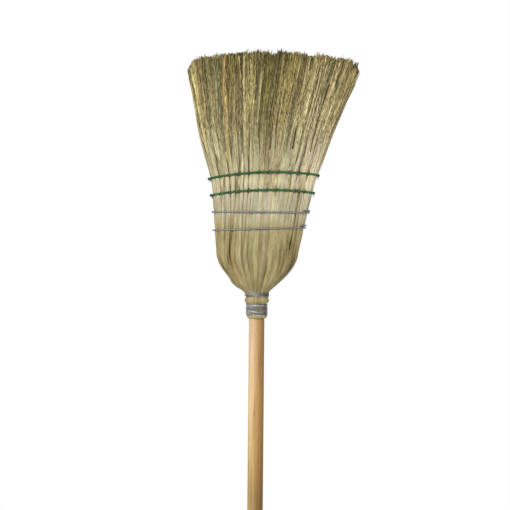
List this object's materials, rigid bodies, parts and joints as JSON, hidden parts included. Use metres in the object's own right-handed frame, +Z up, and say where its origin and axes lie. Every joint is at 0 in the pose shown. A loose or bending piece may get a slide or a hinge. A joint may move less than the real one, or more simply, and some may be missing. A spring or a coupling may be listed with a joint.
{
  "type": "corn broom",
  "caption": "Flat corn broom with a round wooden handle, wire-bound neck, wire bands and rows of twine stitching, of the kind used for sweeping curling ice.",
  "frame": {"origin": "centre of the flat butt of the handle", "axes": "+Z up the handle's axis from the butt to the bristle tips, -Y out of the broad front face of the head, +X to the right of that face"},
  "size_m": [0.283, 0.0538, 1.4229],
  "materials": {
    "handle_wood": "satin lacquered light hardwood dowel",
    "broomcorn": "dry broomcorn straw, matt with a faint waxy sheen",
    "inner_corn": "dry broomcorn stalks, matt",
    "galvanised_wire": "dull galvanised steel wire",
    "nail_steel": "bright steel nail",
    "green_twine": "waxed green polyester twine"
  },
  "bodies": {
    "root": {"handle": "handle_wood", "inside_corn": "inner_corn", "shoulder_corn_left": "inner_corn", "shoulder_corn_right": "inner_corn", "binding_wire": "galvanised_wire", "hurl_left": "broomcorn", "hurl_right": "broomcorn", "hurl_front_1": "broomcorn", "hurl_front_2": "broomcorn", "hurl_front_3": "broomcorn", "hurl_front_4": "broomcorn", "hurl_front_5": "broomcorn", "hurl_front_6": "broomcorn", "hurl_front_7": "broomcorn", "hurl_front_8": "broomcorn", "hurl_front_9": "broomcorn", "hurl_back_1": "broomcorn", "hurl_back_2": "broomcorn", "hurl_back_3": "broomcorn", "hurl_back_4": "broomcorn", "hurl_back_5": "broomcorn", "hurl_back_6": "broomcorn", "hurl_back_7": "broomcorn", "hurl_back_8": "broomcorn", "hurl_back_9": "broomcorn", "neck_wire": "galvanised_wire", "wire_nail": "nail_steel", "wire_band_lower": "galvanised_wire", "wire_band_upper": "galvanised_wire", "stitch_row_lower": "green_twine", "stitch_row_upper": "green_twine"}
  },
  "joints": []
}
